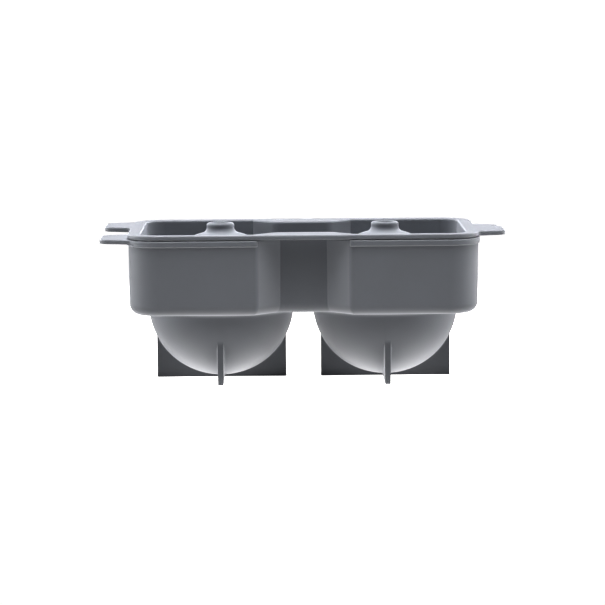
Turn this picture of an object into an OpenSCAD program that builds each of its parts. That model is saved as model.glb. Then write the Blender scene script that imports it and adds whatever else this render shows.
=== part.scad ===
// Silicone mould for two ice balls: a lower moulding with two cups on crossed
// feet, and an upper moulding that nests in it and closes each cup with a dome.
// Length runs along X, depth along Y. The feet stand on z = 0.

/* [Ice balls] */
// Diameter of an ice ball
ball_d = 60; // [50:1:75]
// Clear space between the two cups, outside to outside
cup_gap = 8.5; // [4:0.5:20]
// Silicone wall round a ball
cup_wall = 2; // [1.5:0.1:4]

/* [Trays] */
// Flat ledge between a dome and the walls of the upper tray
ledge = 1.7; // [1:0.1:6]
// Thickness of a tray's side wall
tray_wall = 2.5; // [1.8:0.1:3.2]
// Thickness of a tray's floor
tray_floor = 1.6; // [1.4:0.1:4]
// Depth of the lower tray, from the parting plane to the top of its rim
tray_depth = 31; // [22:0.5:45]
// Lean of the side walls from upright, in degrees
draft = 0.5; // [0:0.1:3]
// Clearance between the walls of the nested trays
nest_gap = 0.3; // [0.2:0.05:1]
// Plan radius of the upper tray's inside corners
corner_r = 8; // [5:0.5:14]
// Radius round the outside of either tray's bottom edge
edge_r = 3; // [2:0.25:6]
// Radius round the inside of either tray's bottom edge
inner_edge_r = 1; // [0.3:0.1:1.8]

/* [Waist] */
// How far the long walls step in between the balls
waist_recess = 10; // [6:0.5:13]
// Angle of the walls that lead into the waist, in degrees
waist_slant = 45; // [35:1:60]
// Plan radius of the corners that lead into the waist, on the outside of the lower tray
waist_r = 3; // [1:0.25:5]
// Plan radius of the waist's own corners, on the inside of the upper tray
waist_inner_r = 6; // [4:0.25:8]

/* [Rim and flange] */
// Height of the bead along the lower tray's top, round each ball as far as the waist
rim_h = 2.6; // [2:0.1:5]
// How far the bead stands out from the wall
rim_out = 0.7; // [0.4:0.1:2]
// Thickness of the upper tray's flange
flange_t = 2; // [1.8:0.1:4]
// Clearance between the flange and the lower rim
flange_gap = 0.3; // [0.2:0.05:1]
// Radius on the edges of the rim and the flange
lip_r = 0.6; // [0.2:0.05:0.75]
// Radius where the flange turns down into the upper tray
well_r = 0.9; // [0.5:0.1:2]

/* [Fill spouts] */
// Outside diameter of a spout
spout_d = 12.2; // [10.5:0.1:16]
// Height of a spout above the crown of its dome
spout_h = 3.4; // [3:0.1:8]
// Diameter of the fill hole
bore_d = 7.5; // [5:0.1:8.5]
// Radius between spout and dome
spout_fillet = 2.5; // [1:0.1:3]
// Radius over the spout's mouth
mouth_r = 1.1; // [0.3:0.05:1.2]

/* [Feet] */
// How far the end of a foot fin stands in from the outside of its cup
fin_inset = 3.5; // [2.5:0.5:12]
// Thickness of a foot fin at its foot
fin_t = 2.2; // [1.5:0.1:5]
// Lean of each side of a foot fin, which is thicker at its root, in degrees
fin_draft = 1.2; // [0:0.1:3]
// Height of the cups above the surface that the feet stand on
foot_drop = 1; // [0.5:0.1:6]

/* [Pull tabs] */
// Reach of a tab beyond the flange
tab_out = 11.7; // [10:0.1:20]
// Width of a tab where it leaves the flange
tab_root_w = 27; // [20:0.5:30]
// Width of a tab at its tip
tab_tip_w = 20; // [12:0.5:26]
// Radius on a tab's tip corners
tab_r = 4; // [2:0.25:5]
// Radius at the root, on the side next to the other tab
tab_root_r = 3; // [1:0.25:4]
// Thickness of a tab
tab_t = 1.9; // [1.2:0.1:2]
// Distance of an upper tab's middle from the centre line
upper_tab_y = 14; // [10:0.5:16]
// Distance of a lower tab's middle from the centre line
lower_tab_y = 18; // [10:0.5:19]

/* [Hidden] */

$fn = 96;
corner_steps = 8;
waist_steps = 3;
edge_steps = 4;
lip_steps = 2;
cup_steps = 24;
blend_steps = 6;
lower_colour = [0.42, 0.43, 0.45];
upper_colour = [0.44, 0.44, 0.47];

ball_r = ball_d / 2;
cup_r = ball_r + cup_wall;
ball_x = cup_r + cup_gap / 2;
parting_z = foot_drop + cup_r;
rim_top = parting_z + tray_depth;
flange_base = rim_top + flange_gap;
flange_top = flange_base + flange_t;
spout_top = cup_r + spout_h;
bore_r = bore_d / 2;
// Flat floor that is part of the edge's skin, inside the edge's radius
floor_lap = 0.5;
// Least plan radius of a waist corner
least_r = 0.5;

// Inside of the upper tray at its floor, a ledge away from the domes all round.
// Every other outline is an offset of it.
well_x = ball_x + cup_r + ledge;
well_y = cup_r + ledge;
waist_run = waist_recess / tan(waist_slant);
waist_x = ball_x - (well_y / sin(waist_slant) - (well_y - waist_recess) / tan(waist_slant));
upper_out = tray_wall;
lower_in = upper_out + nest_gap;
lower_out = lower_in + tray_wall;
rim_edge = lower_out + lean(rim_top) + rim_out;
flange_x = well_x + rim_edge;

// Outward lean of a drafted wall at height z
function lean(z) = (z - parting_z) * tan(draft);

function unit(v) = v / norm(v);

// Points along an arc, first and last point included
function arc(centre, r, from, to, steps) =
    [for (i = [0:steps]) let (a = from + (to - from) * i / steps) centre + r * [cos(a), sin(a)]];

// Arc that rounds the corner p between its two neighbours
function corner(before, p, after, r, steps) =
    let (
        u = unit(before - p),
        v = unit(after - p),
        half = acos(u * v) / 2,
        centre = p + unit(u + v) * r / sin(half),
        start = p + u * r / tan(half) - centre,
        end = p + v * r / tan(half) - centre,
        from = atan2(start.y, start.x),
        turn = atan2(start.x * end.y - start.y * end.x, start * end)
    )
    arc(centre, r, from, from + turn, steps);

// Polygon of [point, radius, steps] corners, each rounded where it has a radius
function rounded(corners) =
    let (n = len(corners))
    [for (i = [0:n - 1])
        let (c = corners[i])
        each c[1] == 0 ? [c[0]]
            : corner(corners[(i + n - 1) % n][0], c[0], corners[(i + 1) % n][0], c[1], c[2])];

// Where the long wall at offset d turns into the waist
function turn_x(d) = waist_x + waist_run - d * tan(waist_slant / 2);

// Plan outline at offset d from the inside of the upper tray, counter-clockwise.
// Its corners keep the walls even: they open outward, and close outward in the waist.
function outline(d) =
    let (
        x = well_x + d,
        y = well_y + d,
        quarter = [
            [[x, y], corner_r + d, corner_steps],
            [[turn_x(d), y], max(least_r, waist_r + d - lower_out), waist_steps],
            [[turn_x(d) - waist_run, y - waist_recess], max(least_r, waist_inner_r - d), waist_steps]
        ],
        half = concat(quarter, [for (i = [2:-1:0]) mirrored(quarter[i])])
    )
    rounded(concat(half, [for (c = half) [-c[0], c[1], c[2]]]));

function mirrored(c) = [[-c[0].x, c[0].y], c[1], c[2]];

// The same outline with its long sides straight across the waist
function straight_outline(d) =
    [for (p = outline(d)) abs(p.x) < well_x - corner_r ? [p.x, sign(p.y) * (well_y + d)] : p];

function at_height(points, z) = [for (p = points) [p.x, p.y, z]];
function ring(p) = at_height(outline(p.x), p.y);
function straight_ring(p) = at_height(straight_outline(p.x), p.y);

// Ring of the lower rim: the bead round the balls, and only the wall across the waist
function bead_ring(p) =
    let (
        bead = outline(p.x),
        wall = outline(min(p.x, lower_out + lean(p.y)))
    )
    at_height([for (i = [0:len(bead) - 1]) abs(bead[i].x) < turn_x(p.x) ? wall[i] : bead[i]], p.y);

// Endless skin round a stack of rings, the last one joined to the first
module skin(rings) {
    n = len(rings[0]);
    m = len(rings);
    polyhedron(
        [for (r = rings) each r],
        [for (i = [0:m - 1], j = [0:n - 1])
            let (next = (i + 1) % m, k = (j + 1) % n) [i * n + j, next * n + j, next * n + k, i * n + k]]);
}

// Offset at which the flat floor ends and the bottom edge begins, for a wall standing at offset d
function floor_edge(d) = min(d - edge_r, d - tray_wall - inner_edge_r) - floor_lap;

// Flat floor inside the bottom edge of a tray
module tray_base(d, z) {
    translate([0, 0, z]) linear_extrude(tray_floor) polygon(outline(floor_edge(d)));
}

// Rounded bottom edge of a tray: outside from the floor up, and inside from the wall down
function edge_outside(d, z) =
    concat([[floor_edge(d), z]], arc([d - edge_r, z + edge_r], edge_r, -90, 0, edge_steps));
function edge_inside(d, z) =
    let (wall = d - tray_wall - inner_edge_r)
    concat(arc([wall, z + inner_edge_r], inner_edge_r, 0, -90, lip_steps), [[floor_edge(d), z]]);

// Lower tray: up the outside, round the bead, over the rim and down to the floor
module lower_tray() {
    base = parting_z - tray_floor;
    rim_base = rim_top - rim_h;
    mouth = lower_in + lean(rim_top);
    wall_top = rim_base - lip_r / 2;
    wall = [[lower_out + lean(wall_top), wall_top]];
    bead = concat(
        arc([rim_edge - lip_r, rim_base + lip_r], lip_r, -90, 0, lip_steps),
        arc([rim_edge - lip_r, rim_top - lip_r], lip_r, 0, 90, lip_steps),
        arc([mouth + lip_r, rim_top - lip_r], lip_r, 90, 180, lip_steps));
    skin(concat(
        [for (p = concat(edge_outside(lower_out, base), wall)) ring(p)],
        [for (p = bead) bead_ring(p)],
        [for (p = edge_inside(lower_out, parting_z)) ring(p)]));
    tray_base(lower_out, base);
}

// Upper tray: up the outside, round the straight-sided flange and down into the well
module upper_tray() {
    well_floor = parting_z + tray_floor;
    edge = rim_edge - lip_r;
    wall = [[upper_out + lean(flange_base), flange_base]];
    flange = concat(
        arc([edge, flange_base + lip_r], lip_r, -90, 0, lip_steps),
        arc([edge, flange_top - lip_r], lip_r, 0, 90, lip_steps));
    turn = arc([lean(flange_top) + well_r, flange_top - well_r], well_r, 90, 180, edge_steps);
    skin(concat(
        [for (p = concat(edge_outside(upper_out, parting_z), wall)) ring(p)],
        [for (p = flange) straight_ring(p)],
        [for (p = concat(turn, edge_inside(upper_out, well_floor))) ring(p)]));
    tray_base(upper_out, parting_z);
}

// Places its children at both balls, on the parting plane
module at_balls() {
    for (side = [-1, 1])
        translate([side * ball_x, 0, parting_z]) children();
}

// Crossed fins below a cup, let into the middle of its wall
module foot_fins() {
    reach = cup_r - fin_inset;
    mid_r = ball_r + cup_wall / 2;
    height = parting_z - sqrt(mid_r * mid_r - reach * reach);
    foot = fin_t / 2;
    root = foot + height * tan(fin_draft);
    for (turn = [90, 180])
        translate([0, 0, -parting_z])
            rotate([90, 0, turn])
                linear_extrude(2 * reach, center = true)
                    polygon([[-foot, 0], [foot, 0], [root, height], [-root, height]]);
}

// Outside of a cup, from the middle of the tray's floor down
module cup() {
    top_z = -tray_floor / 2;
    rotate_extrude() intersection() {
        circle(cup_r);
        translate([0, -cup_r]) square([cup_r, cup_r + top_z]);
    }
}

// Dome with its fill spout and hole, turned about the ball's upright axis
module dome() {
    spout_r = spout_d / 2;
    blend_r = spout_r + spout_fillet;
    blend_z = sqrt(pow(cup_r + spout_fillet, 2) - blend_r * blend_r);
    blend_a = atan2(blend_z, blend_r);
    base_z = tray_floor / 2;
    lip = min(mouth_r, (spout_r - bore_r) / 2.05);
    shell = arc([0, 0], cup_r, asin(base_z / cup_r), blend_a, cup_steps);
    blend = arc([blend_r, blend_z], spout_fillet, blend_a + 180, 180, blend_steps);
    mouth = concat(
        arc([spout_r - lip, spout_top - lip], lip, 0, 90, edge_steps),
        arc([bore_r + lip, spout_top - lip], lip, 90, 180, edge_steps));
    rotate_extrude() polygon(concat(shell, blend, mouth, [[bore_r, base_z]]));
}

// Tab on the +X end, in the half where Y has the sign of side, rooted in the rim or flange
module pull_tab(middle_y, side, top_z) {
    inner_y = middle_y - tab_root_w / 2;
    outer_y = middle_y + tab_root_w / 2;
    taper = (tab_root_w - tab_tip_w) / 2;
    root_y = inner_y - 2 * tab_root_r;
    tip_x = flange_x + tab_out;
    seat = rim_edge - (tray_wall + rim_out) / 2;
    mirror([0, side < 0 ? 1 : 0, 0])
        translate([0, 0, top_z - tab_t])
            linear_extrude(tab_t)
                difference() {
                    polygon(rounded([
                        [[well_x, root_y], 0, 0],
                        [[flange_x, root_y], 0, 0],
                        [[flange_x, inner_y], tab_root_r, edge_steps],
                        [[tip_x, inner_y + taper], tab_r, edge_steps],
                        [[tip_x, outer_y - taper], tab_r, edge_steps],
                        [[flange_x, outer_y], 0, 0],
                        [[well_x, outer_y], 0, 0]
                    ]));
                    polygon(outline(seat));
                }
}

// Two tabs, one at each end, half a turn apart
module tab_pair(middle_y, side, top_z) {
    for (turn = [0, 180])
        rotate(turn) pull_tab(middle_y, side, top_z);
}

// Lower moulding: tray, cups, feet and tabs in one piece of silicone
module lower_mould() {
    color(lower_colour)
        difference() {
            union() {
                lower_tray();
                at_balls() {
                    cup();
                    foot_fins();
                }
                tab_pair(lower_tab_y, 1, rim_top);
            }
            at_balls() sphere(ball_r);
        }
}

// Upper moulding: tray, flange, domes, spouts and tabs in one piece of silicone
module upper_mould() {
    color(upper_colour)
        difference() {
            union() {
                upper_tray();
                at_balls() dome();
                tab_pair(upper_tab_y, -1, flange_top);
            }
            at_balls() sphere(ball_r);
        }
}

lower_mould();
upper_mould();
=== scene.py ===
import math

import bmesh
import bpy
import numpy as np
from mathutils import Matrix


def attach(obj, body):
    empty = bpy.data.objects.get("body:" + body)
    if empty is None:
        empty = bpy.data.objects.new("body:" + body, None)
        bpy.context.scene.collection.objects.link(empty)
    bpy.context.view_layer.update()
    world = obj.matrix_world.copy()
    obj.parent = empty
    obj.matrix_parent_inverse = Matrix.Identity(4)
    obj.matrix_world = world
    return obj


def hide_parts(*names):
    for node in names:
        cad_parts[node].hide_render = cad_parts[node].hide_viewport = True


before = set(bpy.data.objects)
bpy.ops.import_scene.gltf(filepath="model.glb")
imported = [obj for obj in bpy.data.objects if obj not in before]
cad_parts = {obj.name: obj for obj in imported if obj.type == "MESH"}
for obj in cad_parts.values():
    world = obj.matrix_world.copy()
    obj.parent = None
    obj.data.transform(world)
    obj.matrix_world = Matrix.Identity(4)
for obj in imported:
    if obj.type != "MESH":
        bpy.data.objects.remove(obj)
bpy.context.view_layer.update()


# LOWER MOULD. One grey silicone moulding: a waisted tray with a bead round its mouth and a pull tab
# at each end, two half-ball cups under its floor and a cross of thin drafted fins under each cup.
# Moulded in one, so it is one closed skin; it stands free on the fins and nothing is fixed to it.

# Sizes are in millimetres. A plan's offset is measured outward from the lid's inside wall.
MM = 0.001
BALL_R, BALL_X, BALL_LIP, BALL_LIP_MIDDLE = 30.0, 36.25, 0.3, 0.09
CUP_R, CUP_BLEND = 32.0, 2.0
PARTING_Z, TRAY_FLOOR, RIM_BASE, RIM_TOP = 33.0, 1.6, 61.4, 64.0
WELL_X, WELL_Y, CORNER_R = 69.95, 33.7, 8.0
WAIST_X, WAIST_RECESS, WAIST_SLANT = 12.292, 10.0, 45.0
WAIST_R, WAIST_INNER_R, LEAST_R = 3.0, 6.0, 0.5
DRAFT = math.tan(math.radians(0.5))
LOWER_IN, LOWER_OUT, EDGE_R, INNER_EDGE_R = 2.8, 5.3, 4.5, 1.0
RIM_EDGE, BEAD_FILLET, BEAD_R, LIP_R, INNER_LIP_R = 6.27, 0.25, 0.5, 0.6, 0.5
LOWER_TAB_Y, TAB_OUT, TAB_ROOT_W, TAB_TIP_W, TAB_T = 18.0, 11.7, 27.0, 20.0, 1.9
TAB_R, TAB_ROOT_R, TAB_FAR_R, TAB_EDGE_R = 4.0, 3.0, 2.0, 0.35
FIN_END, FIN_HALF, FIN_DRAFT = 28.5, 1.2, math.tan(math.radians(0.2))
FIN_EDGE_R, FIN_ROOT_R, FOOT_R, TOE_R = 0.1, 1.0, 0.1, 0.4

# Heights over the bead's base where the tabs' undersides run out and where their edges turn up, and
# the share of the way out at each ring of the run.
TAB_RUN, TAB_TURN = (0.55, 0.9), (1.1, 1.4)
TAB_REACH = (0.03, 0.35, 0.65, 0.88, 1.0)

# Points along the plan's straight stretches and round its corners, and the points over which a tab's
# rounded edge fades in.
END_STEPS, SIDE_STEPS, SLANT_STEPS, GRIP_STEPS = 96, 12, 5, 10
CORNER_STEPS, WAIST_STEPS, TAB_FADE = 16, 8, 8


def lean(z):
    """How far a drafted wall has moved out at height z."""
    return (z - PARTING_Z) * DRAFT


def arc(x, y, r, start, end, steps):
    """Points of an arc, both ends included, angles in degrees."""
    turn = np.radians(np.linspace(start, end, steps + 1))
    return np.stack([x + r * np.cos(turn), y + r * np.sin(turn)], 1)


def rounded(before, at, after, r, steps):
    """The corner at one point of a path, rounded to radius r."""
    before, at, after = (np.array(p, float) for p in (before, at, after))
    back, on = before - at, after - at
    back, on = back / np.linalg.norm(back), on / np.linalg.norm(on)
    half = math.acos(max(-1.0, min(1.0, float(back @ on)))) / 2
    middle = back + on
    centre = at + middle / np.linalg.norm(middle) * r / math.sin(half)
    first = at + back * r / math.tan(half) - centre
    last = at + on * r / math.tan(half) - centre
    sweep = math.atan2(first[0] * last[1] - first[1] * last[0], float(first @ last))
    begin = math.degrees(math.atan2(first[1], first[0]))
    return arc(centre[0], centre[1], r, begin, begin + math.degrees(sweep), steps)


def turn_x(d):
    """Where the long wall at offset d turns into the waist."""
    return WAIST_X + WAIST_RECESS - d * math.tan(math.radians(WAIST_SLANT / 2))


def outline(d):
    """Waisted plan of a tray at offset d from the lid's inside wall, always the same point count."""
    x, y = WELL_X + d, WELL_Y + d
    outer, inner, waist = turn_x(d), turn_x(d) - WAIST_RECESS, y - WAIST_RECESS
    opening, closing = max(LEAST_R, WAIST_R + d - LOWER_OUT), max(LEAST_R, WAIST_INNER_R - d)
    half = [((x, -y), CORNER_R + d, CORNER_STEPS, END_STEPS),
            ((x, y), CORNER_R + d, CORNER_STEPS, SIDE_STEPS),
            ((outer, y), opening, WAIST_STEPS, SLANT_STEPS),
            ((inner, waist), closing, WAIST_STEPS, GRIP_STEPS),
            ((-inner, waist), closing, WAIST_STEPS, SLANT_STEPS),
            ((-outer, y), opening, WAIST_STEPS, SIDE_STEPS)]
    plan = half + [((-p[0], -p[1]), r, steps, run) for p, r, steps, run in half]
    count = len(plan)
    turns = [rounded(plan[i - 1][0], plan[i][0], plan[(i + 1) % count][0], plan[i][1], plan[i][2])
             for i in range(count)]
    points = []
    for i in range(count):
        run = np.linspace(turns[i][-1], turns[(i + 1) % count][0], plan[i][3] + 1)
        points += [turns[i], run[1:-1]]
    return np.concatenate(points)


def offset(loop, amount):
    """A closed loop moved along its outward normals, by one amount or one for each point."""
    along = np.roll(loop, -1, 0) - np.roll(loop, 1, 0)
    out = np.stack([along[:, 1], -along[:, 0]], 1)
    return loop + out / np.linalg.norm(out, axis=1)[:, None] * np.reshape(amount, (-1, 1))


def with_tabs(loop, tab_y):
    """A rim's edge with a pull tab at each end, half a turn apart, and how far each point is tab."""
    end = 2 * CORNER_STEPS + END_STEPS + 1
    side = loop[:end] if tab_y > 0 else loop[:end][::-1] * (1, -1)
    edge_x = side[:, 0].max()
    low, high = abs(tab_y) - TAB_ROOT_W / 2, abs(tab_y) + TAB_ROOT_W / 2
    taper = (TAB_ROOT_W - TAB_TIP_W) / 2
    tip = np.array([edge_x + TAB_OUT, high - taper])
    away = np.array([-TAB_OUT, taper])
    # The tab's far side runs back until it meets the rim's rounded corner, and the rounding of its
    # root ends a few points past that.
    beyond = away[0] * (side[:, 1] - tip[1]) - away[1] * (side[:, 0] - tip[0])
    meet = int(np.argmax((beyond < 0) & (side[:, 1] > abs(tab_y))))
    share = beyond[meet - 1] / (beyond[meet - 1] - beyond[meet])
    root = side[meet - 1] + (side[meet] - side[meet - 1]) * share
    first, last = int(np.argmax(side[:, 1] > low - 2 * TAB_ROOT_R)), meet + 3
    corners = [side[first], (edge_x, low), (edge_x + TAB_OUT, low + taper), tip, root, side[last]]
    path = np.concatenate([[corners[0]], rounded(*corners[0:3], TAB_ROOT_R, 10),
                           rounded(*corners[1:4], TAB_R, 12), rounded(*corners[2:5], TAB_R, 12),
                           rounded(*corners[3:6], TAB_FAR_R, 8), [corners[5]]])
    # The rim's own points between first and last are spread evenly along the tab's edge.
    run = np.concatenate([[0], np.cumsum(np.linalg.norm(np.diff(path, axis=0), axis=1))])
    at = np.linspace(0, run[-1], last - first + 1)
    side = side.copy()
    side[first:last + 1] = np.stack([np.interp(at, run, path[:, k]) for k in (0, 1)], 1)
    order = np.arange(last - first + 1)
    on_tab = np.zeros(end)
    on_tab[first:last + 1] = np.minimum(np.minimum(order, order[::-1]) / TAB_FADE, 1)
    if tab_y < 0:
        side, on_tab = side[::-1] * (1, -1), on_tab[::-1]
    half, flag = loop[:len(loop) // 2].copy(), np.zeros(len(loop) // 2)
    half[:end], flag[:end] = side, on_tab
    return np.concatenate([half, -half]), np.concatenate([flag, flag])


def level(loop, z):
    """A plan loop as a ring in space, at one height or one for each point."""
    return np.column_stack([loop, np.broadcast_to(z, len(loop))])


def rings_along(profile):
    """Rings of the waisted plan along a profile of (offset, height) pairs."""
    return [level(outline(d), z) for d, z in profile]


def wall(d, start, end, count):
    """Profile of a drafted wall at offset d, between heights clear of the roundings at its ends."""
    return [(d + lean(z), z) for z in np.linspace(start, end, count)]


def loft(bm, rings):
    """Quads between closed rings of one point count; returns each ring's vertices."""
    rows = [[bm.verts.new(p) for p in ring * MM] for ring in rings]
    count = len(rows[0])
    for a, b in zip(rows, rows[1:]):
        for j in range(count):
            k = (j + 1) % count
            bm.faces.new((a[j], a[k], b[k], b[j]))
    return rows


def fill(bm, *loops):
    """A flat face between closed rows of vertices."""
    edges = [bm.edges.get((row[j - 1], row[j])) or bm.edges.new((row[j - 1], row[j]))
             for row in loops for j in range(len(row))]
    bmesh.ops.triangle_fill(bm, use_beauty=True, use_dissolve=False, edges=edges, normal=(0, 0, 1))


def lathe(profile, x, steps=112):
    """Rings about a ball's upright axis at x, from (radius, height over the equator) pairs."""
    turn = np.linspace(0, 2 * math.pi, steps, endpoint=False)
    return [np.stack([x + r * np.cos(turn), r * np.sin(turn), np.full(steps, PARTING_Z + z)], 1)
            for r, z in profile]


def skin(bm, name, body, node, material):
    """Turns a closed bmesh into the shown piece for one moulding."""
    bmesh.ops.recalc_face_normals(bm, faces=bm.faces)
    mesh = bpy.data.meshes.new(name)
    bm.to_mesh(mesh)
    bm.free()
    mesh.polygons.foreach_set("use_smooth", [True] * len(mesh.polygons))
    mesh.materials.append(material)
    piece = bpy.data.objects.new(name, mesh)
    bpy.context.scene.collection.objects.link(piece)
    piece.modifiers.new("even_shading", "WEIGHTED_NORMAL").mode = "FACE_AREA"
    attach(piece, body)
    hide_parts(node)
    return piece


def fin_slice(rho, z):
    """One level slice of a cup and its crossed fins: the cup's circle with four rounded arms."""
    # Where the arms are short, near the top, their roundings shrink with their reach. The least
    # rounding and run keep points apart, and the spread, just over root two, keeps roots apart.
    fade, least, spread, spare = 1.5, 0.02, 1.42, 0.05
    half = FIN_HALF + z * FIN_DRAFT - FOOT_R + math.sqrt(FOOT_R ** 2 - max(0.0, FOOT_R - z) ** 2)
    end = FIN_END - TOE_R + math.sqrt(TOE_R ** 2 - max(0.0, TOE_R - z) ** 2)
    reach = end - math.sqrt(max(rho * rho - half * half, 0.0))
    swell = max(0.0, min(1.0, reach / fade))
    nose, root = FIN_EDGE_R * swell + least, FIN_ROOT_R * swell + least
    waist_r = max(rho, spread * (half + root) - root + spare)
    near = math.sqrt((waist_r + root) ** 2 - (half + root) ** 2)
    far = max(near + least, end - nose)
    turn = math.degrees(math.atan2(half + root, near))
    arm = np.concatenate([
        np.stack([np.full(3, far + nose), np.linspace(0, half - nose, 4)[:3]], 1),
        arc(far, half - nose, nose, 0, 90, 5),
        np.stack([np.linspace(far, near, 8)[1:-1], np.full(6, half)], 1),
        arc(near, half + root, root, 270, 180 + turn, 6),
        arc(0, 0, waist_r, turn, 45, 6)[1:]])
    if reach < 0:
        arm *= rho / np.linalg.norm(arm, axis=1)[:, None]
    quarter = np.concatenate([arm, arm[::-1][1:, ::-1]])[:-1]
    return level(np.concatenate([quarter @ np.array([[c, s], [-s, c]])
                                 for c, s in ((1, 0), (0, 1), (-1, 0), (0, -1))]), z)


def add(tree, kind, sockets=(), **settings):
    """A shader node with its settings, and its sockets set to a value or linked from a socket."""
    made = tree.nodes.new(kind)
    for key, value in settings.items():
        setattr(made, key, value)
    for key, value in dict(sockets).items():
        if isinstance(value, bpy.types.NodeSocket):
            tree.links.new(value, made.inputs[key])
        else:
            made.inputs[key].default_value = value
    return made


def linear(code):
    """An sRGB hex colour as linear RGBA."""
    parts = [int(code[i:i + 2], 16) / 255 for i in (1, 3, 5)]
    return [p / 12.92 if p <= 0.04045 else ((p + 0.055) / 1.055) ** 2.4 for p in parts] + [1.0]


def silicone(name, colour):
    """Pigmented silicone rubber, moulded in a blasted steel tool."""
    # To the eye: no sharp reflection, a pale bloom where the surface turns away, which the sheen
    # gives, and a faint cloud in the pigment. The real grain is too fine to show in the render, so
    # it is drawn coarser, at 0.4 mm.
    cloud_size, grain_size, grain_depth = 14 * MM, 0.4 * MM, 0.03 * MM
    material = bpy.data.materials.new(name)
    material.use_nodes = True
    tree = material.node_tree
    shader = tree.nodes["Principled BSDF"]
    shader.inputs["IOR"].default_value = 1.41
    shader.inputs["Specular IOR Level"].default_value = 0.5
    shader.inputs["Roughness"].default_value = 0.5
    shader.inputs["Sheen Weight"].default_value = 1.0
    shader.inputs["Sheen Roughness"].default_value = 0.85
    shader.inputs["Sheen Tint"].default_value = linear("#F8FAFF")
    place = add(tree, "ShaderNodeTexCoord").outputs["Object"]
    cloud = add(tree, "ShaderNodeTexNoise", {"Vector": place, "Scale": 1 / cloud_size, "Detail": 3.0})
    grain = add(tree, "ShaderNodeTexNoise", {"Vector": place, "Scale": 1 / grain_size, "Detail": 2.0})
    pigment = add(tree, "ShaderNodeValToRGB", {"Fac": cloud.outputs["Fac"]})
    base = linear(colour)
    for stop, position, shade in zip(pigment.color_ramp.elements, (0.3, 0.7), (0.93, 1.06)):
        stop.position = position
        stop.color = [c * shade for c in base[:3]] + [1.0]
    bump = add(tree, "ShaderNodeBump", {"Height": grain.outputs["Fac"], "Strength": 0.25,
                                        "Distance": grain_depth})
    tree.links.new(pigment.outputs["Color"], shader.inputs["Base Color"])
    tree.links.new(bump.outputs["Normal"], shader.inputs["Normal"])
    return material


base_z = PARTING_Z - TRAY_FLOOR
tab_z = RIM_TOP - TAB_T
lip_d = RIM_EDGE - LIP_R
mouth_d = LOWER_IN + lean(RIM_TOP) + INNER_LIP_R
plain_rim = outline(RIM_EDGE)
rim_with_tabs, on_tab = with_tabs(plain_rim, LOWER_TAB_Y)


def bead(d, z, inward=0.0):
    """Plan of the rim at offset d: the bead round the balls, and only the wall across the waist."""
    bare_d = LOWER_OUT + lean(z) - max(0.0, z - RIM_TOP + LIP_R) / 2
    whole, bare = outline(d), outline(min(d, bare_d + (mouth_d - bare_d) * inward))
    return np.where(np.abs(whole[:, :1]) < turn_x(d), bare, whole)


def rim_ring(d, z, reach, inset, edge_z, root, inward=0.0):
    """One ring of the rim: plain at offset d, and drawn out from a root loop to the tabs' edge."""
    tab = root + (offset(rim_with_tabs, -inset * on_tab) - root) * reach
    drawn = on_tab > 0
    return level(np.where(drawn[:, None], tab, bead(d, z, inward)), np.where(drawn, edge_z, z))


# Up the outside: the rounded bottom edge, the drafted wall, and the bead's fillet and lower edge.
tray = bmesh.new()
rings = rings_along(arc(LOWER_OUT - EDGE_R, base_z + EDGE_R, EDGE_R, 270, 360, 10))
rings += rings_along(wall(LOWER_OUT, base_z + EDGE_R + 2, RIM_BASE - 0.5, 5))
fillet_d = LOWER_OUT + lean(RIM_BASE) + BEAD_FILLET
under_bead = arc(fillet_d, RIM_BASE - BEAD_FILLET, BEAD_FILLET, 180, 100, 3)
bead_edge = arc(RIM_EDGE - BEAD_R, RIM_BASE + BEAD_R, BEAD_R, 280, 360, 5)
rings += [level(bead(d, z), z) for d, z in np.concatenate([under_bead, bead_edge])]

# Up the bead's face, while the tabs' undersides run out to their edges and turn up, then over the lip.
run = RIM_BASE + np.linspace(*TAB_RUN, len(TAB_REACH))
rings += [rim_ring(RIM_EDGE, z, reach, TAB_EDGE_R, tab_z, plain_rim) for z, reach in zip(run, TAB_REACH)]
tab_edge = arc(-TAB_EDGE_R, tab_z + TAB_EDGE_R, TAB_EDGE_R, 270, 360, 4)[1:]
turn = RIM_BASE + np.linspace(*TAB_TURN, len(tab_edge))
rings += [rim_ring(RIM_EDGE, z, 1.0, -x, edge_z, plain_rim) for z, (x, edge_z) in zip(turn, tab_edge)]
rings += [rim_ring(d, z, 1.0, RIM_EDGE - d, z, plain_rim)
          for d, z in arc(lip_d, RIM_TOP - LIP_R, LIP_R, 0, 90, 6)]

# Across the flat top to the mouth, and down the inside to the floor.
rings += [rim_ring(lip_d + (mouth_d - lip_d) * t, RIM_TOP, 1 - t, LIP_R, RIM_TOP, outline(mouth_d), t)
          for t in (0.15, 0.4, 0.7, 1.0)]
rings += rings_along(arc(mouth_d, RIM_TOP - INNER_LIP_R, INNER_LIP_R, 90, 180, 4)[1:])
rings += rings_along(wall(LOWER_IN, RIM_TOP - 4, PARTING_Z + 3, 4))
rings += rings_along(arc(LOWER_IN - INNER_EDGE_R, PARTING_Z + INNER_EDGE_R, INNER_EDGE_R, 0, -90, 6))
rows = loft(tray, rings)
under, inside = [rows[0]], [rows[-1]]

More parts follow.
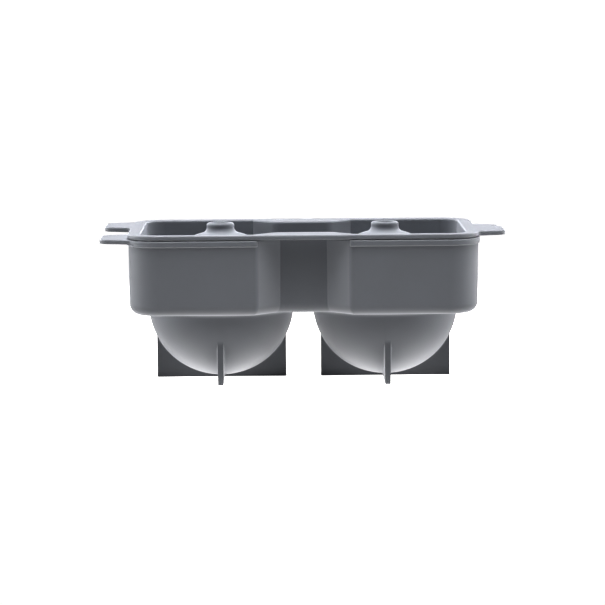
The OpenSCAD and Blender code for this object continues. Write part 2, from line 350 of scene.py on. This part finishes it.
# The half balls sunk in the floor, and below it the cups' outsides, which grow into the fins.
ball = np.concatenate([[(BALL_R + BALL_LIP, 0.0), (BALL_R + BALL_LIP_MIDDLE, -BALL_LIP_MIDDLE)],
                       arc(0, 0, BALL_R, -1.0, -88.0, 29)])
drop = TRAY_FLOOR + CUP_BLEND
blend_x = math.sqrt((CUP_R + CUP_BLEND) ** 2 - drop ** 2)
blend_a = math.degrees(math.atan2(drop, blend_x))
cup = np.concatenate([arc(blend_x, -drop, CUP_BLEND, 90, 180 - blend_a, 6),
                      arc(0, 0, CUP_R, -blend_a, -86.0, 43)[1:]])
toes = TOE_R * (1 - np.sin(np.radians(np.linspace(0, 90, 13))))
slices = [fin_slice(r, PARTING_Z + z) for r, z in cup] + [fin_slice(0.0, z) for z in toes]
for side in (-1, 1):
    x = side * BALL_X
    half_ball = loft(tray, lathe(ball, x))
    inside.append(half_ball[0])
    fill(tray, half_ball[-1])
    skirt = loft(tray, [ring + (x, 0, 0) for ring in slices])
    under.append(skirt[0])
    fill(tray, skirt[-1])
fill(tray, *under)
fill(tray, *inside)
lower = skin(tray, "lower_mould_silicone", "lower_mould", "lower_mould",
             silicone("lower moulded silicone", "#383F48"))


# UPPER MOULD. The lid, one grey silicone moulding: a waisted tray nested in the lower one, a flat
# straight-sided flange with a pull tab at each end, and two domes with fill spouts on its floor.
# It rests on the lower tray's floor at the balls' equator and lifts straight off.

# The flange stops just inside the bead's edge, so that the bead's top shows as a thin light line.
UPPER_OUT, FLANGE_BASE, FLANGE_TOP, FLANGE_EDGE = 2.5, 64.3, 66.3, RIM_EDGE - 0.35
LID_EDGE_R, FLANGE_FILLET, WELL_R, UPPER_TAB_Y = 3.0, 0.6, 0.9, -14.0
SPOUT_R, BORE_R, SPOUT_TOP, SPOUT_FILLET, SPOUT_LIP_R, DOME_FILLET = 6.1, 3.75, 35.4, 2.5, 1.1, 0.6

straight = outline(FLANGE_EDGE)
middle = np.abs(straight[:, 0]) < WELL_X - CORNER_R
straight[middle, 1] = np.sign(straight[middle, 1]) * (WELL_Y + FLANGE_EDGE)
flange_edge, _ = with_tabs(straight, UPPER_TAB_Y)

# Up the outside: the rounded bottom edge, the drafted wall, and the fillet under the flange.
lid = bmesh.new()
rings = rings_along(arc(UPPER_OUT - LID_EDGE_R, PARTING_Z + LID_EDGE_R, LID_EDGE_R, 270, 360, 8))
rings += rings_along(wall(UPPER_OUT, PARTING_Z + 5, FLANGE_BASE - 1.2, 5))
fillet_d = UPPER_OUT + lean(FLANGE_BASE) + FLANGE_FILLET
rings += rings_along(arc(fillet_d, FLANGE_BASE - FLANGE_FILLET, FLANGE_FILLET, 180, 90, 4))

# Out under the flange, round its two edges and in across its top.
wall_edge, low_edge = outline(fillet_d), offset(flange_edge, -TAB_EDGE_R)
rings += [level(wall_edge + (low_edge - wall_edge) * t, FLANGE_BASE) for t in (0.3, 0.6, 0.85)]
rings += [level(offset(flange_edge, x), FLANGE_BASE + z)
          for x, z in arc(-TAB_EDGE_R, TAB_EDGE_R, TAB_EDGE_R, 270, 360, 5)]
rings += [level(offset(flange_edge, x), FLANGE_TOP + z) for x, z in arc(-LIP_R, -LIP_R, LIP_R, 0, 90, 6)]
well = outline(lean(FLANGE_TOP))
top_edge, well_edge = offset(flange_edge, -LIP_R), offset(well, WELL_R)
rings += [level(top_edge + (well_edge - top_edge) * t, FLANGE_TOP) for t in (0.2, 0.45, 0.75)]

# Into the well and down its wall to the floor.
floor_z = PARTING_Z + TRAY_FLOOR
rings += [level(offset(well, x), z) for x, z in arc(WELL_R, FLANGE_TOP - WELL_R, WELL_R, 90, 180, 6)]
rings += rings_along(wall(0.0, FLANGE_TOP - 5, floor_z + 3, 5))
rings += rings_along(arc(-INNER_EDGE_R, floor_z + INNER_EDGE_R, INNER_EDGE_R, 0, -90, 6))
rows = loft(lid, rings)
under, inside = [rows[0]], [rows[-1]]

# Each dome's profile: up the half ball and the spout's bore, over the spout and down to the floor.
blend_x = SPOUT_R + SPOUT_FILLET
blend_z = math.sqrt((CUP_R + SPOUT_FILLET) ** 2 - blend_x ** 2)
blend_a = math.degrees(math.atan2(blend_z, blend_x))
foot_z = TRAY_FLOOR + DOME_FILLET
foot_x = math.sqrt((CUP_R + DOME_FILLET) ** 2 - foot_z ** 2)
foot_a = math.degrees(math.atan2(foot_z, foot_x))
bore_a = math.degrees(math.acos(BORE_R / BALL_R))
lip_z = SPOUT_TOP - SPOUT_LIP_R
dome = np.concatenate([
    [(BALL_R + BALL_LIP, 0.0), (BALL_R + BALL_LIP_MIDDLE, BALL_LIP_MIDDLE)],
    arc(0, 0, BALL_R, 1.0, bore_a, 27),
    [(BORE_R, z) for z in np.linspace(BALL_R + 0.2, lip_z, 5)],
    arc(BORE_R + SPOUT_LIP_R, lip_z, SPOUT_LIP_R, 180, 90, 6)[1:],
    arc(SPOUT_R - SPOUT_LIP_R, lip_z, SPOUT_LIP_R, 90, 0, 6),
    [(SPOUT_R, (lip_z + blend_z) / 2)],
    arc(blend_x, blend_z, SPOUT_FILLET, 180, 180 + blend_a, 10),
    arc(0, 0, CUP_R, blend_a, foot_a, 29)[1:],
    arc(foot_x, foot_z, DOME_FILLET, 180 + foot_a, 270, 5)[1:]])
for side in (-1, 1):
    shell = loft(lid, lathe(dome, side * BALL_X))
    under.append(shell[0])
    inside.append(shell[-1])
fill(lid, *under)
fill(lid, *inside)
upper = skin(lid, "upper_mould_silicone", "upper_mould", "upper_mould",
             silicone("upper moulded silicone", "#383F48"))


# STUDIO. A table and a tent of white paper that are white to the camera and light nothing. A card
# under the mould, which the camera doesn't see, glows in soft pools that light the cups from below.
# Soft lights hang above and in front, and stand low at both sides.
scene = bpy.context.scene

# Paper lit evenly from all round: a plain white with no shading. The set's sizes are in metres.
SET_R, CARD_W = 60.0, 3.0
paper = bpy.data.materials.new("matt white paper")
paper.use_nodes = True
sheet = paper.node_tree.nodes["Principled BSDF"]
sheet.inputs["Base Color"].default_value = linear("#F4F4F4")
sheet.inputs["Roughness"].default_value = 0.9
sheet.inputs["Emission Color"].default_value = linear("#FFFFFF")
sheet.inputs["Emission Strength"].default_value = 1.0
bpy.ops.mesh.primitive_plane_add(size=2 * SET_R, location=(0, 0, 0))
table = bpy.context.object
table.name = "studio_table"
bpy.ops.mesh.primitive_uv_sphere_add(segments=48, ring_count=24, radius=SET_R)
tent = bpy.context.object
tent.name = "studio_tent"
for backing in (table, tent):
    backing.data.materials.append(paper)
    backing.visible_diffuse = backing.visible_glossy = backing.visible_shadow = False

# Matt card with pools of light painted on it as glow, so that the card itself lights the mould from
# below.
# Each painted pool is mirrored across both axes of the mould, and given by its centre, half width and
# half depth in metres, and its strength: one under each cup, one along each long side and a wide one
# further out.
POOLS = ((0.045, 0.016, 0.04, 0.016, 1.06), (0, 0.035, 0.085, 0.03, 0.5), (0, 0.2, 0.6, 0.15, 1.06))
card = bpy.data.materials.new("white card with painted glow pools")
card.use_nodes = True
tree = card.node_tree
board = tree.nodes["Principled BSDF"]
board.inputs["Base Color"].default_value = linear("#858585")
board.inputs["Roughness"].default_value = 0.9
board.inputs["Emission Color"].default_value = linear("#FFFCF8")
spot = add(tree, "ShaderNodeTexCoord")
mirror = add(tree, "ShaderNodeVectorMath", {0: spot.outputs["Object"]}, operation="ABSOLUTE")
glow = 0.0
for x, y, width, depth, strength in POOLS:
    place = add(tree, "ShaderNodeMapping", {"Vector": mirror.outputs["Vector"], "Location": (x, y, 0.0),
                                            "Scale": (width, depth, 1.0)}, vector_type="TEXTURE")
    away = add(tree, "ShaderNodeVectorMath", {0: place.outputs["Vector"]}, operation="LENGTH")
    fade = add(tree, "ShaderNodeMapRange", {"Value": away.outputs["Value"], "From Min": 0.7,
                                            "From Max": 1.3, "To Min": strength, "To Max": 0.0},
               interpolation_type="SMOOTHSTEP")
    both = add(tree, "ShaderNodeMath", {0: glow, 1: fade.outputs["Result"]}, operation="ADD")
    glow = both.outputs["Value"]
# The painted pools, added up, are the card's glow.
tree.links.new(glow, board.inputs["Emission Strength"])
bpy.ops.mesh.primitive_plane_add(size=CARD_W, location=(0, 0, 0))
bounce = bpy.context.object
bounce.name = "bounce_card"
bounce.data.materials.append(card)
bounce.visible_camera = False

# The air of the set glows faintly, more from behind the mould than from in front of it.
FRONT_GLOW, BACK_GLOW = 0.02, 0.34
sky = bpy.data.worlds.new("white_tent")
sky.use_nodes = True
tree = sky.node_tree
backdrop = tree.nodes["Background"]
backdrop.inputs["Color"].default_value = linear("#FCF9FF")
direction = add(tree, "ShaderNodeTexCoord")
parts = add(tree, "ShaderNodeSeparateXYZ", {"Vector": direction.outputs["Generated"]})
strength = add(tree, "ShaderNodeMapRange", {"Value": parts.outputs["Y"], "From Min": -1.0,
                                            "From Max": 1.0, "To Min": FRONT_GLOW,
                                            "To Max": BACK_GLOW})
tree.links.new(strength.outputs["Result"], backdrop.inputs["Strength"])
scene.world = sky


def facing(right, top, back, place):
    """The matrix of a lamp or camera from its own three axes and its place."""
    return Matrix([[right[i], top[i], back[i], place[i]] for i in range(3)] + [[0, 0, 0, 1]])


def softbox(name, place, aim, width, height, power):
    """A rectangular soft light facing a point, in metres and watts."""
    light = bpy.data.lights.new(name, "AREA")
    light.shape, light.size, light.size_y, light.energy = "RECTANGLE", width, height, power
    lamp = bpy.data.objects.new(name, light)
    scene.collection.objects.link(lamp)
    back = np.array(place, float) - np.array(aim, float)
    back /= np.linalg.norm(back)
    right = np.cross((0, 1, 0) if abs(back[2]) > 0.99 else (0, 0, 1), back)
    right /= np.linalg.norm(right)
    lamp.matrix_world = facing(right, np.cross(back, right), back, place)


MIDDLE, FRONT = (0, 0, 0.05), (0, -0.05, 0.05)
softbox("overhead", (0, 0, 1.0), MIDDLE, 0.6, 0.4, 11.2)
softbox("overhead_front", (0, -0.35, 1.0), FRONT, 0.6, 0.4, 5.8)
softbox("front_light", (0, -0.8, 0.9), FRONT, 0.6, 0.4, 1.9)
for side in (-1, 1):
    softbox("side_light", (side * 0.9, 0.1, 0.1), FRONT, 0.8, 0.2, 3.1)


# CAMERA. The photograph's viewpoint: in front of the mould and a little above it, about 1.15 m away
# and looking 7 degrees down. The eye's place is in millimetres from the middle of the parting level.
YAW, PITCH, ROLL = math.radians(0.593), math.radians(7.078), math.radians(-0.413)
EYE = (-12.112, -1141.247, 141.229)
FOCAL_PIXELS, PHOTO_PIXELS, SENSOR = 2596.215, 605, 36.0

ahead = np.array([math.sin(YAW) * math.cos(PITCH), math.cos(YAW) * math.cos(PITCH), -math.sin(PITCH)])
across = np.array([math.cos(YAW), -math.sin(YAW), 0.0])
upward = np.cross(across, ahead)
right = math.cos(ROLL) * across + math.sin(ROLL) * upward
top = math.cos(ROLL) * upward - math.sin(ROLL) * across
lens = bpy.data.cameras.new("camera")
lens.sensor_width, lens.lens = SENSOR, FOCAL_PIXELS * SENSOR / PHOTO_PIXELS
lens.clip_end = 300.0
camera = bpy.data.objects.new("camera", lens)
scene.collection.objects.link(camera)
camera.matrix_world = facing(right, top, -ahead, (np.array(EYE) + (0, 0, PARTING_Z)) * MM)
scene.camera = camera

# The greys are held down against the white, as in the photograph's exposure.
scene.view_settings.view_transform = "Standard"
scene.view_settings.gamma = 0.58
